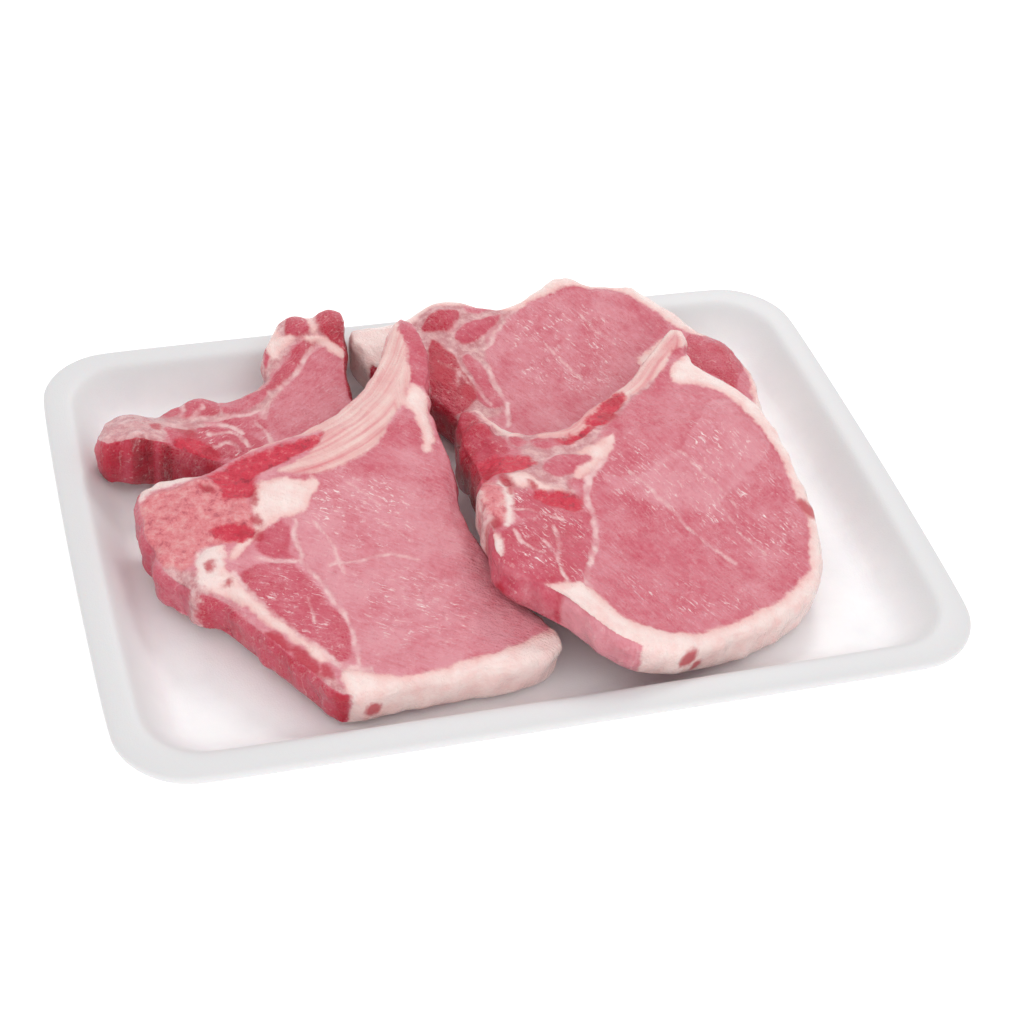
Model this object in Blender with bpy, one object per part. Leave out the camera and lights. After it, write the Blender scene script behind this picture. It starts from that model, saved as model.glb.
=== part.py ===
# A moulded foam meat tray with four bone-in pork chops lying in it.
# Metres, +Z up, +X along the tray; the origin is under the middle of the tray's base.
# Lengths below are in millimetres, and MM turns them into metres where a mesh is made.
import math

import bmesh
import bpy
import numpy as np

MM = 0.001
GAP = 0.3                 # left between a chop and what it lies on
TISSUE_GAP = 0.5          # left between the lean, fat and bone of one chop

# ---- tray ----
TRAY_LENGTH = 270.0       # over the bowed ends
TRAY_WIDTH = 196.0        # over the bowed long sides
TRAY_HEIGHT = 16.0
TRAY_CORNER = 23.0        # outline's corner radius
CORNER_SHARPENING = 0.55  # how fast the corners tighten towards the floor
END_BOW = 1.75            # how far the short ends bow outwards
SIDE_BOW = 0.5            # how far the long sides bow outwards
RIM_WIDTH = 8.3
LIP_THICKNESS = 4.0
FLOOR_THICKNESS = 3.5
WALL_RUN = 13.5           # width of the sloping wall, seen from above
CORNER_STEPS = 6
END_STEPS = 4
SIDE_STEPS = 6

# ---- chops ----
CHOP_THICKNESS = 15.7
TOP_SOFTNESS = 1.2        # how far a cut edge pulls in at the top
UNDERCUT = 1.6            # how far it pulls in underneath
EDGE_DROP = 1.3           # how far it rounds over
EDGE_REACH = 7.0          # how far from the edge the rounding is felt
SEAT_INSET = 1.2          # a chop sits on what is this far in from its edge
CLEARANCE = 3.5           # a chop clears what is under it this far around
SETTLING = 4.0            # smoothing of a laid chop
FIRM_CLEARANCE = 2.0      # the clearance that the smoothing may not use up
WALL_TURN = 2.5           # smoothing of the direction in which a chop's wall faces
MESH_STEP = 9.0           # spacing of the chops' surface lines
OUTLINE_STEP = 6.0        # spacing of points along a cut edge
WALL_LEVELS = (0.22, 0.78)
CURVE_STEPS = 24          # points on a smooth curve between two given ones

# ---- height maps ----
MAP_STEP = 1.0
MAP_X = np.arange(-140.0, 140.0 + MAP_STEP, MAP_STEP)
MAP_Y = np.arange(-104.0, 104.0 + MAP_STEP, MAP_STEP)

# Each chop is the outline of its upper face, with the parts of it that are fat and bone,
# and the tightest hollow bend that it takes as it lies over what is under it.
# The fat and bone loops run past the outline on the outside, so that the outline trims them.
BACK_LEFT = {
    "bend": 150.0,
    "outline": [
        (-121, 41), (-118, 50), (-111, 55), (-105, 56), (-100, 54.5), (-92, 59), (-82, 61), (-75, 59.5),
        (-62, 64.5), (-61, 74), (-54, 85.5), (-49, 88.5), (-42, 87.5), (-33, 89.5), (-29.5, 86), (-31, 74),
        (-34, 60), (-34, 45), (-38, 26), (-52, 18), (-68, 22), (-85, 30), (-95, 33.5), (-105, 34.5),
        (-117, 36),
    ],
    "bone": [(-96, 26), (-97, 40), (-97, 48), (-100, 62), (-112, 66), (-126, 58), (-130, 42), (-118, 26)],
    "fat": [
        (-70, 69), (-61, 69), (-54, 74), (-44, 80), (-36, 78), (-25, 74), (-22, 99), (-50, 102),
        (-72, 94),
    ],
    "swells": [(-107, 35, 13, 7.0), (-48, 84, 9, 1.2), (-34, 84, 7, 1.6)],
}
BACK_RIGHT = {
    "bend": 200.0,
    "outline": [
        (-29.5, 77), (-28.5, 82.5), (-21, 83.5), (-12, 84), (-3, 85.5), (6, 88.5), (14, 86), (28, 83),
        (37, 87),
        (50, 92), (56, 89), (74, 87), (81, 81), (88, 73), (94, 65), (101, 58), (105, 47), (105, 34),
        (100, 20), (88, 9), (70, 3), (50, 2), (28, 6), (10, 17), (2, 28), (-4, 39), (-9, 47),
        (-18, 58), (-25, 66),
    ],
    "fat": [
        (-22, 54), (-15, 65), (-10, 78), (0, 82), (14, 81.5), (28, 79), (40, 83), (54, 86), (68, 83),
        (76, 77), (84, 67.5), (92, 60.5), (98, 55), (101, 46), (101, 36), (96, 25), (90, 14), (100, 4),
        (116, 20), (118, 60), (92, 94), (52, 106), (0, 100), (-40, 92), (-42, 68),
    ],
    "swells": [(4, 82, 9, 1.5), (50, 89, 8, 1.0), (93, 50, 12, 1.2), (-25, 76, 9, 3.5)],
}
FRONT_LEFT = {
    "bend": 260.0,
    "outline": [
        (-113, 3), (-112, 12), (-104, 17), (-95, 15.5), (-87, 16), (-78, 20), (-66, 21), (-57, 22),
        (-47, 27),
        (-38, 35), (-31, 44), (-24, 55), (-18.5, 66), (-14.5, 69), (-11, 64), (-9.5, 53), (-11, 42),
        (-14, 32),
        (-13, 18), (-12.5, 0), (-13, -14), (-10, -30), (-6, -46), (1, -60), (3, -66), (0, -72), (-12, -75.5),
        (-40, -76.5), (-62, -79), (-69, -77), (-75, -67), (-90, -43), (-98, -32), (-107, -25), (-112, -11),
    ],
    "bone": [
        (-4, 51), (-13, 48), (-22, 38), (-33, 26), (-46, 15), (-60, 8), (-72, 6), (-77, 0), (-79, -9),
        (-85, -17), (-95, -16), (-104, -19), (-120, -13), (-122, 22), (-90, 27), (-60, 30), (-36, 56),
        (-18, 79),
        (-2, 71),
    ],
    "fat": [
        (8, -57), (-2, -63), (-12, -68), (-28, -71.5), (-46, -73), (-58, -72), (-65, -67), (-71, -59),
        (-79, -48),
        (-85, -37), (-88, -26), (-92, -20), (-104, -21), (-118, -17), (-112, -42), (-84, -76), (-70, -94),
        (-20, -90), (8, -82),
    ],
    "swells": [(-98, 0, 16, 1.5), (-15, 59, 9, 1.6), (-45, 21, 12, 1.2)],
}
FRONT_RIGHT = {
    "bend": 150.0,
    "outline": [
        (-3, 31), (1, 28), (6, 18), (11, 10), (20, 8), (27, 9), (34, 16), (44, 22), (52, 27),
        (60, 36), (68, 44),
        (75, 51), (79, 51), (79.5, 43), (77, 35), (84, 25), (90, 15), (94.5, 3), (97.5, -13), (99, -28),
        (96.5, -43), (91, -57), (80, -68), (60, -76.5), (42, -81.5), (28, -83.5), (18, -82),
        (10, -76), (3, -68),
        (-5, -59), (-12, -52), (-14, -45), (-13, -34), (-13, -22), (-10, -13), (-8.5, -4), (-8.5, 10),
        (-7, 22),
    ],
    "bone": [
        (-18, -38), (-6, -34), (-2, -22), (5, -13), (15, -10), (25, -5), (34, 2), (43, 10), (52, 18),
        (61, 25),
        (68, 31), (73, 37), (86, 41), (84, 60), (66, 54), (40, 30), (12, 20), (0, 42), (-14, 36), (-20, 0),
    ],
    "fat": [
        (-6, -56), (3, -51), (9, -54), (12.5, -62), (17, -70), (25, -76), (38, -77.5), (55, -72.5),
        (72, -66),
        (84, -57), (91, -46), (94, -32), (93.5, -17), (90.5, -5), (86, 6), (80.5, 16), (73, 22), (66, 24.5),
        (72, 33), (86, 37), (105, 10), (108, -40), (94, -74), (50, -92), (10, -92), (-4, -74),
    ],
    "swells": [(-3, 20, 8, 2.2), (2, -15, 12, 1.0), (44, 15, 10, 1.2)],
}

# from the bottom of the pile up
CHOPS = {
    "back_left": BACK_LEFT,
    "back_right": BACK_RIGHT,
    "front_left": FRONT_LEFT,
    "front_right": FRONT_RIGHT,
}

# sRGB colours, roughness
FOAM_WHITE = ("#f4f4f2", 0.55)
LEAN_PINK = ("#d8868c", 0.35)
FAT_CREAM = ("#efd3cb", 0.4)
BONE_PINK = ("#dda49c", 0.45)


def linearColour(hexColour):
    channels = [int(hexColour[i:i + 2], 16) / 255.0 for i in (1, 3, 5)]
    linear = [c / 12.92 if c <= 0.04045 else ((c + 0.055) / 1.055) ** 2.4 for c in channels]
    return (*linear, 1.0)


def makeMaterial(name, look):
    hexColour, roughness = look
    material = bpy.data.materials.new(name)
    material.use_nodes = True
    shader = material.node_tree.nodes["Principled BSDF"]
    shader.inputs["Base Color"].default_value = linearColour(hexColour)
    shader.inputs["Roughness"].default_value = roughness
    shader.inputs["Metallic"].default_value = 0.0
    material.diffuse_color = linearColour(hexColour)
    return material


# ---- outlines ----

def evenLoop(points, step):
    """A smooth closed curve through the points, as points a step apart."""
    corners = np.array(points, float)
    before = np.roll(corners, 1, axis=0)
    after = np.roll(corners, -1, axis=0)
    beyond = np.roll(corners, -2, axis=0)
    pieces = []
    for t in np.linspace(0.0, 1.0, CURVE_STEPS, endpoint=False):
        pieces.append(0.5 * (2 * corners + (after - before) * t
                             + (2 * before - 5 * corners + 4 * after - beyond) * t ** 2
                             + (3 * corners - before - 3 * after + beyond) * t ** 3))
    dense = np.stack(pieces, axis=1).reshape(-1, 2)
    closed = np.vstack([dense, dense[:1]])
    lengths = np.concatenate([[0.0], np.cumsum(np.linalg.norm(np.diff(closed, axis=0), axis=1))])
    count = int(round(lengths[-1] / step))
    wanted = np.linspace(0.0, lengths[-1], count, endpoint=False)
    loop = np.stack([np.interp(wanted, lengths, closed[:, axis]) for axis in (0, 1)], axis=1)
    return loop if loopArea(loop) > 0 else loop[::-1]


def loopArea(loop):
    following = np.roll(loop, -1, axis=0)
    return 0.5 * np.sum(loop[:, 0] * following[:, 1] - following[:, 0] * loop[:, 1])


def grownLoop(loop, amount):
    """An anticlockwise loop moved outwards."""
    tangents = np.roll(loop, -1, axis=0) - np.roll(loop, 1, axis=0)
    tangents /= np.linalg.norm(tangents, axis=1)[:, None]
    return loop + amount * np.stack([tangents[:, 1], -tangents[:, 0]], axis=1)


def insideMap(loop):
    """True where a height map's points lie inside the loop."""
    x, y = np.meshgrid(MAP_X, MAP_Y)
    inside = np.zeros(x.shape, bool)
    following = np.roll(loop, -1, axis=0)
    for (x0, y0), (x1, y1) in zip(loop, following):
        if y0 == y1:
            continue
        crosses = (y0 > y) != (y1 > y)
        inside ^= crosses & (x < x0 + (y - y0) * (x1 - x0) / (y1 - y0))
    return inside


def edgeMap(loop):
    """Each map point's distance from the loop."""
    x, y = np.meshgrid(MAP_X, MAP_Y)
    nearest = np.full(x.shape, 1e9)
    following = np.roll(loop, -1, axis=0)
    for start, end in zip(loop, following):
        run = end - start
        along = ((x - start[0]) * run[0] + (y - start[1]) * run[1]) / (run @ run)
        along = np.clip(along, 0.0, 1.0)
        distance = np.hypot(x - start[0] - along * run[0], y - start[1] - along * run[1])
        nearest = np.minimum(nearest, distance)
    return nearest


# ---- height maps ----

def blurred(heights, spread):
    reach = int(math.ceil(3 * spread / MAP_STEP))
    offsets = np.arange(-reach, reach + 1)
    weights = np.exp(-0.5 * (offsets * MAP_STEP / spread) ** 2)
    weights /= weights.sum()
    for axis in (0, 1):
        padded = np.pad(heights, [(reach, reach) if a == axis else (0, 0) for a in (0, 1)], mode="edge")
        size = heights.shape[axis]
        heights = sum(w * np.take(padded, range(i, i + size), axis) for i, w in enumerate(weights))
    return heights


def raisedBy(heights, curvature, reach):
    """Each point raised to the highest of its neighbours, less a parabola's drop to it."""
    cells = int(math.ceil(reach / MAP_STEP))
    for axis in (0, 1):
        padded = np.pad(heights, [(cells, cells) if a == axis else (0, 0) for a in (0, 1)], mode="edge")
        size = heights.shape[axis]
        layers = []
        for i in range(2 * cells + 1):
            drop = curvature * ((i - cells) * MAP_STEP) ** 2
            layers.append(np.take(padded, range(i, i + size), axis) - drop)
        heights = np.max(layers, axis=0)
    return heights


def spreadFrom(heights, inside):
    """The heights inside an area, carried outwards from its edge."""
    known = inside.copy()
    filled = np.where(inside, heights, 0.0)
    while not known.all():
        total = np.zeros(filled.shape)
        count = np.zeros(filled.shape)
        for axis, shift in ((0, 1), (0, -1), (1, 1), (1, -1)):
            total += np.roll(filled * known, shift, axis)
            count += np.roll(known, shift, axis)
        fresh = ~known & (count > 0)
        filled[fresh] = total[fresh] / count[fresh]
        known |= fresh
    return filled


def laidOn(support, inside, bend):
    """The underside of a chop that bends no tighter than its bend radius as it lies on what is below."""
    carried = spreadFrom(support, inside)
    cleared = raisedBy(carried, 0.0, CLEARANCE)
    curvature = 1.0 / (2.0 * bend)
    reach = math.sqrt((cleared.max() - cleared.min()) / curvature) + MAP_STEP
    hanging = -raisedBy(-raisedBy(cleared, curvature, reach), curvature, reach)
    underside = blurred(hanging, SETTLING)
    firm = np.where(inside, raisedBy(carried, 0.0, FIRM_CLEARANCE), 0.0)
    return np.maximum(underside, firm) + GAP


def readMap(heights, points):
    """Heights at points between the map's own, by straight interpolation."""
    column = np.clip((points[:, 0] - MAP_X[0]) / MAP_STEP, 0, len(MAP_X) - 1.001)
    row = np.clip((points[:, 1] - MAP_Y[0]) / MAP_STEP, 0, len(MAP_Y) - 1.001)
    c, r = column.astype(int), row.astype(int)
    u, v = column - c, row - r
    low = heights[r, c] * (1 - u) + heights[r, c + 1] * u
    high = heights[r + 1, c] * (1 - u) + heights[r + 1, c + 1] * u
    return low * (1 - v) + high * v


# ---- tray ----

def trayRing(inset):
    """The tray's outline at a distance in from its outer edge."""
    halfLength = TRAY_LENGTH / 2 - END_BOW - inset
    halfWidth = TRAY_WIDTH / 2 - SIDE_BOW - inset
    radius = TRAY_CORNER - CORNER_SHARPENING * inset
    ring = []
    for quarter in range(4):
        middle = math.pi / 4 + quarter * math.pi / 2
        signX, signY = math.copysign(1, math.cos(middle)), math.copysign(1, math.sin(middle))
        for i in range(CORNER_STEPS + 1):
            angle = quarter * math.pi / 2 + i / CORNER_STEPS * math.pi / 2
            ring.append((signX * (halfLength - radius) + radius * math.cos(angle),
                         signY * (halfWidth - radius) + radius * math.sin(angle)))
        steps = SIDE_STEPS if quarter % 2 == 0 else END_STEPS
        start = np.array(ring[-1])
        end = np.array([-start[0], start[1]] if quarter % 2 == 0 else [start[0], -start[1]])
        ring += [tuple(start + (end - start) * i / steps) for i in range(1, steps)]
    bowed = []
    for x, y in ring:
        bowX = END_BOW * (1 - (y / halfWidth) ** 2) * x / halfLength
        bowY = SIDE_BOW * (1 - (x / halfLength) ** 2) * y / halfWidth
        bowed.append((x + bowX, y + bowY))
    return bowed


def trayProfile():
    """(inset, height) from the middle of the underside, round the lip, to the middle of the floor."""
    wallEnd = RIM_WIDTH + WALL_RUN
    underWall = FLOOR_THICKNESS * 0.75
    underLip = TRAY_HEIGHT - LIP_THICKNESS
    outside = [
        (wallEnd + 5.0 - underWall, 0.0),
        (wallEnd - underWall, 0.9),
        (RIM_WIDTH + 1.2, underLip - 2.2),
        (RIM_WIDTH - 2.2, underLip),
        (1.2, underLip),
        (0.25, underLip + 0.8),
        (0.0, TRAY_HEIGHT - 2.0),
        (0.35, TRAY_HEIGHT - 0.8),
        (1.4, TRAY_HEIGHT),
    ]
    inside = [
        (RIM_WIDTH - 0.6, TRAY_HEIGHT),
        (RIM_WIDTH + 1.6, TRAY_HEIGHT - 1.1),
        (RIM_WIDTH + 4.2, TRAY_HEIGHT - 3.9),
        (wallEnd - 5.2, FLOOR_THICKNESS + 3.6),
        (wallEnd - 2.2, FLOOR_THICKNESS + 1.2),
        (wallEnd + 2.0, FLOOR_THICKNESS),
    ]
    return outside, inside


def trayFloorMap():
    """The height of the tray's upper side."""
    x, y = np.meshgrid(MAP_X, MAP_Y)
    acrossX = np.abs(x) - (TRAY_LENGTH / 2 - TRAY_CORNER)
    acrossY = np.abs(y) - (TRAY_WIDTH / 2 - TRAY_CORNER)
    corner = np.hypot(np.maximum(acrossX, 0), np.maximum(acrossY, 0))
    inset = TRAY_CORNER - corner - np.minimum(np.maximum(acrossX, acrossY), 0)
    insets, heights = zip(*trayProfile()[1])
    return np.interp(inset, insets, heights)


def makeTray(material, collection):
    outside, inside = trayProfile()
    profile = outside + inside
    mesh = bpy.data.meshes.new("tray")
    shape = bmesh.new()
    rings = []
    for inset, height in profile:
        rings.append([shape.verts.new((x * MM, y * MM, height * MM)) for x, y in trayRing(inset)])
    for lower, upper in zip(rings, rings[1:]):
        for i in range(len(lower)):
            shape.faces.new((lower[i - 1], lower[i], upper[i], upper[i - 1]))
    shape.faces.new(rings[0])
    shape.faces.new(rings[-1])
    bmesh.ops.recalc_face_normals(shape, faces=shape.faces)
    bmesh.ops.triangulate(shape, faces=shape.faces)
    shape.to_mesh(mesh)
    shape.free()
    addObject("tray", mesh, material, collection)


# ---- chops ----

def addObject(name, mesh, material, collection):
    mesh.shade_smooth()
    mesh.set_sharp_from_angle(angle=math.radians(40))
    mesh.materials.append(material)
    thing = bpy.data.objects.new(name, mesh)
    collection.objects.link(thing)
    return thing


def prism(name, loop, bottom, top, collection):
    """An outline extruded straight up, as an object."""
    shape = bmesh.new()
    face = shape.faces.new([shape.verts.new((x * MM, y * MM, bottom * MM)) for x, y in loop])
    sides = bmesh.ops.extrude_face_region(shape, geom=[face])["geom"]
    raised = [part for part in sides if isinstance(part, bmesh.types.BMVert)]
    bmesh.ops.translate(shape, verts=raised, vec=(0, 0, (top - bottom) * MM))
    bmesh.ops.recalc_face_normals(shape, faces=shape.faces)
    mesh = bpy.data.meshes.new(name)
    shape.to_mesh(mesh)
    shape.free()
    thing = bpy.data.objects.new(name, mesh)
    collection.objects.link(thing)
    return thing


def cutterPrism(name, loop, collection):
    """A prism that stands well past a chop's two faces."""
    cutter = prism(name, loop, -CHOP_THICKNESS, 2 * CHOP_THICKNESS, collection)
    cutter.hide_render = True
    cutter.display_type = "WIRE"
    return cutter


def carved(blank, steps):
    """The blank's mesh after Boolean steps, each an operation and its cutter."""
    for operation, cutter in steps:
        boolean = blank.modifiers.new(operation.title(), "BOOLEAN")
        boolean.operation = operation
        boolean.object = cutter
        boolean.solver = "EXACT"
    depsgraph = bpy.context.evaluated_depsgraph_get()
    mesh = bpy.data.meshes.new_from_object(blank.evaluated_get(depsgraph))
    blank.modifiers.clear()
    return mesh


def ruleLines(shape):
    """Lines across the solid, so that its faces can bend."""
    low = [min(v.co[axis] for v in shape.verts) for axis in (0, 1)]
    high = [max(v.co[axis] for v in shape.verts) for axis in (0, 1)]
    cuts = []
    for axis in (0, 1):
        first = math.floor(low[axis] / MM / MESH_STEP) + 1
        last = math.ceil(high[axis] / MM / MESH_STEP)
        normal = (1, 0, 0) if axis == 0 else (0, 1, 0)
        cuts += [(tuple(n * k * MESH_STEP * MM for n in normal), normal) for k in range(first, last)]
    cuts += [((0, 0, level * CHOP_THICKNESS * MM), (0, 0, 1)) for level in WALL_LEVELS]
    for place, normal in cuts:
        everything = shape.verts[:] + shape.edges[:] + shape.faces[:]
        bmesh.ops.bisect_plane(shape, geom=everything, dist=0.02 * MM, plane_co=place, plane_no=normal)


def shaped(mesh, chop):
    """Lays a flat slab on its support: softened edges, swells, and the bend of its underside."""
    shape = bmesh.new()
    shape.from_mesh(mesh)
    ruleLines(shape)
    bmesh.ops.triangulate(shape, faces=shape.faces)
    places = np.array([v.co[:] for v in shape.verts]) / MM
    level = places[:, 2] / CHOP_THICKNESS
    nearness = np.clip(1.0 - readMap(chop["edge"], places) / EDGE_REACH, 0.0, 1.0)
    upper = np.clip(2.0 * level - 1.0, 0.0, 1.0) ** 4
    lower = np.clip(1.0 - 2.0 * level, 0.0, 1.0) ** 1.5
    inwards = np.stack([readMap(chop["inwardX"], places), readMap(chop["inwardY"], places)], axis=1)
    pull = nearness * (TOP_SOFTNESS * upper + UNDERCUT * lower)
    moved = places[:, :2] + inwards * pull[:, None]
    height = readMap(chop["underside"], moved) + places[:, 2]
    height += EDGE_DROP * nearness ** 2 * (lower - upper)
    for x, y, radius, rise in chop["swells"]:
        away = np.hypot(places[:, 0] - x, places[:, 1] - y) / radius
        height += rise * np.exp(-away ** 2) * np.clip(level, 0, 1)
    for vertex, (x, y), z in zip(shape.verts, moved, height):
        vertex.co = (x * MM, y * MM, z * MM)
    bmesh.ops.recalc_face_normals(shape, faces=shape.faces)
    shape.to_mesh(mesh)
    shape.free()
    return mesh


def layChop(design, support):
    """Works out where a chop lies, and gives its maps and its upper surface."""
    loop = evenLoop(design["outline"], OUTLINE_STEP)
    inside = insideMap(loop)
    distance = edgeMap(loop)
    underside = laidOn(support, inside & (distance > SEAT_INSET), design["bend"])
    signed = blurred(np.where(inside, distance, -distance), WALL_TURN)
    slopeY, slopeX = np.gradient(signed, MAP_STEP)
    steepness = np.maximum(np.hypot(slopeX, slopeY), 0.5)
    chop = {
        "loop": loop,
        "inside": inside,
        "underside": underside,
        "edge": np.where(inside, distance, 0.0),
        "inwardX": slopeX / steepness,
        "inwardY": slopeY / steepness,
        "swells": design["swells"],
    }
    top = underside + CHOP_THICKNESS
    x, y = np.meshgrid(MAP_X, MAP_Y)
    for middleX, middleY, radius, rise in design["swells"]:
        away = np.hypot(x - middleX, y - middleY) / radius
        top = top + rise * np.exp(-away ** 2)
    return chop, np.where(inside, top, 0.0)


def makeChop(name, design, chop, materials, parts, cutters):
    blank = prism(name + "_blank", chop["loop"], 0.0, CHOP_THICKNESS, cutters)
    blank.hide_render = True
    blank.display_type = "WIRE"
    fitted = {}
    grown = {}
    for tissue in ("fat", "bone"):
        if tissue in design:
            loop = evenLoop(design[tissue], OUTLINE_STEP)
            fitted[tissue] = cutterPrism(name + "_" + tissue + "_cutter", loop, cutters)
            wider = grownLoop(loop, TISSUE_GAP)
            grown[tissue] = cutterPrism(name + "_" + tissue + "_clearance", wider, cutters)
    steps = {"lean": [("DIFFERENCE", cutter) for cutter in grown.values()]}
    if "fat" in fitted:
        steps["fat"] = [("INTERSECT", fitted["fat"])]
        if "bone" in grown:
            steps["fat"].append(("DIFFERENCE", grown["bone"]))
    if "bone" in fitted:
        steps["bone"] = [("INTERSECT", fitted["bone"])]
    for tissue, cuts in steps.items():
        mesh = shaped(carved(blank, cuts), chop)
        mesh.name = name + "_" + tissue
        addObject(name + "_" + tissue, mesh, materials[tissue], parts)


def build():
    for thing in list(bpy.data.objects):
        bpy.data.objects.remove(thing, do_unlink=True)
    parts = bpy.data.collections.new("meat_tray_pack")
    cutters = bpy.data.collections.new("cutters")
    for collection in (parts, cutters):
        bpy.context.scene.collection.children.link(collection)
    materials = {
        "lean": makeMaterial("lean_pork", LEAN_PINK),
        "fat": makeMaterial("pork_fat", FAT_CREAM),
        "bone": makeMaterial("pork_bone", BONE_PINK),
    }
    makeTray(makeMaterial("foam", FOAM_WHITE), parts)

    support = trayFloorMap()
    for name, design in CHOPS.items():
        chop, top = layChop(design, support)
        support = np.maximum(support, top)
        makeChop(name, design, chop, materials, parts, cutters)


build()
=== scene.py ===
# Four raw pork chops lying in a white foam tray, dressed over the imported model.
# Plan positions are in millimetres, +X along the tray, and mm turns them into metres.
import math

import bpy
import numpy as np
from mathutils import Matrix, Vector, noise


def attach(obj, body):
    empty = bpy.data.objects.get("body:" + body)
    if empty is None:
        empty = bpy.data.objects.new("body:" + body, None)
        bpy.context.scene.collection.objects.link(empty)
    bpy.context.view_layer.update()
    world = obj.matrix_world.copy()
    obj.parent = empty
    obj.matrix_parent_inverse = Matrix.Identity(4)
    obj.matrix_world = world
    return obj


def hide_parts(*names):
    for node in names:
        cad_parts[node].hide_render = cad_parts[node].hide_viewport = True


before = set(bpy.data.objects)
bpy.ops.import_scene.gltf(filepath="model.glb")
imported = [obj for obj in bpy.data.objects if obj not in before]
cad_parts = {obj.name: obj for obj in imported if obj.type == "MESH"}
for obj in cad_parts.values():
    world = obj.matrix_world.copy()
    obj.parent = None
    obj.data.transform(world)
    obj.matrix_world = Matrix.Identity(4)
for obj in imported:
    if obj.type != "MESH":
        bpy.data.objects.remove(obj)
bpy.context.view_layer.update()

mm = 0.001
farAway = 14.0            # mm, past which a distance is no longer measured
print("frame loaded:", len(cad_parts), "nodes")


# small tools

def toLinear(hexColour):
    channels = [int(hexColour[i:i + 2], 16) / 255.0 for i in (1, 3, 5)]
    linear = [c / 12.92 if c <= 0.04045 else ((c + 0.055) / 1.055) ** 2.4 for c in channels]
    return (*linear, 1.0)


def addNode(tree, kind, sockets, out=0, **settings):
    node = tree.nodes.new("ShaderNode" + kind)
    for name, value in settings.items():
        setattr(node, name, value)
    for key, value in sockets.items():
        if isinstance(value, bpy.types.NodeSocket):
            tree.links.new(value, node.inputs[key])
        else:
            node.inputs[key].default_value = value
    return node.outputs[out]


def newMaterial(name, **constants):
    material = bpy.data.materials.new(name)
    material.use_nodes = True
    tree = material.node_tree
    shader = tree.nodes["Principled BSDF"]
    for socket, value in constants.items():
        shader.inputs[socket.replace("_", " ")].default_value = value
    return material, tree, shader


def perSize(millimetres):
    return 1.0 / (millimetres * mm)   # a texture scale that repeats about once in this length


def deselectAll():
    if bpy.context.mode != "OBJECT":
        bpy.ops.object.mode_set(mode="OBJECT")
    bpy.ops.object.select_all(action="DESELECT")


def pickOnly(piece):
    deselectAll()
    piece.select_set(True)
    bpy.context.view_layer.objects.active = piece


def finishWith(piece, kind, **settings):
    pickOnly(piece)
    modifier = piece.modifiers.new(kind.title(), kind)
    for name, value in settings.items():
        setattr(modifier, name, value)
    bpy.ops.object.modifier_apply(modifier=modifier.name)


def copyOfNodes(name, nodes):
    deselectAll()
    for node in nodes:
        copy = bpy.data.objects.new(name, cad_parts[node].data.copy())
        bpy.context.scene.collection.objects.link(copy)
        copy.select_set(True)
        bpy.context.view_layer.objects.active = copy
    piece = bpy.context.view_layer.objects.active
    if len(nodes) > 1:
        bpy.ops.object.join()
    bpy.ops.object.mode_set(mode="EDIT")
    bpy.ops.mesh.select_all(action="SELECT")
    bpy.ops.mesh.remove_doubles(threshold=0.01 * mm)
    bpy.ops.object.mode_set(mode="OBJECT")
    bpy.ops.mesh.customdata_custom_splitnormals_clear()
    piece.name = name
    piece.data.materials.clear()
    return piece


def readPoints(piece):
    count = len(piece.data.vertices)
    places = np.empty(count * 3, np.float32)
    normals = np.empty(count * 3, np.float32)
    piece.data.vertices.foreach_get("co", places)
    piece.data.vertex_normals.foreach_get("vector", normals)
    return places.reshape(-1, 3).astype(float) / mm, normals.reshape(-1, 3).astype(float)


def writePoints(piece, places):
    piece.data.vertices.foreach_set("co", (places * mm).astype(np.float32).ravel())
    piece.data.update()


def storeMap(piece, name, values):
    layer = piece.data.attributes.new(name, "FLOAT", "POINT")
    layer.data.foreach_set("value", np.asarray(values, np.float32))


def eased(values, low, high):
    share = np.clip((values - low) / (high - low), 0.0, 1.0)
    return share * share * (3.0 - 2.0 * share)


def lumps(places, size, seed):
    shift = Vector((seed * 17.3, seed * 5.9, seed * 31.1))
    return np.array([noise.noise(Vector(place) / size + shift) for place in places])


# lines drawn on a chop, seen from above

def smoothLine(points, closed, step=1.6):
    corners = np.array(points, float)
    if closed:
        before, after, beyond = (np.roll(corners, shift, axis=0) for shift in (1, -1, -2))
    else:
        padded = np.vstack([corners[:1], corners, corners[-1:]])
        before, after, beyond = padded[:-3], padded[2:-1], padded[3:]
        corners = corners[:-1]
    pieces = []
    for t in np.linspace(0.0, 1.0, 12, endpoint=False):
        pieces.append(0.5 * (2 * corners + (after - before) * t
                             + (2 * before - 5 * corners + 4 * after - beyond) * t ** 2
                             + (3 * corners - before - 3 * after + beyond) * t ** 3))
    dense = np.stack(pieces, axis=1).reshape(-1, 2)
    dense = np.vstack([dense, dense[:1] if closed else np.array(points[-1:], float)])
    lengths = np.concatenate([[0.0], np.cumsum(np.linalg.norm(np.diff(dense, axis=0), axis=1))])
    wanted = np.linspace(0.0, lengths[-1], max(3, int(lengths[-1] / step)))
    return np.stack([np.interp(wanted, lengths, dense[:, axis]) for axis in (0, 1)], axis=1)


def nearestOn(spots, line):
    distance = np.full(len(spots), 1e9)
    nearest = np.zeros(spots.shape)
    for start, end in zip(line[:-1], line[1:]):
        run = end - start
        along = np.clip(((spots - start) @ run) / max(run @ run, 1e-9), 0.0, 1.0)
        foot = start + along[:, None] * run
        away = np.hypot(*(spots - foot).T)
        closer = away < distance
        distance[closer] = away[closer]
        nearest[closer] = foot[closer]
    return distance, nearest


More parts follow.
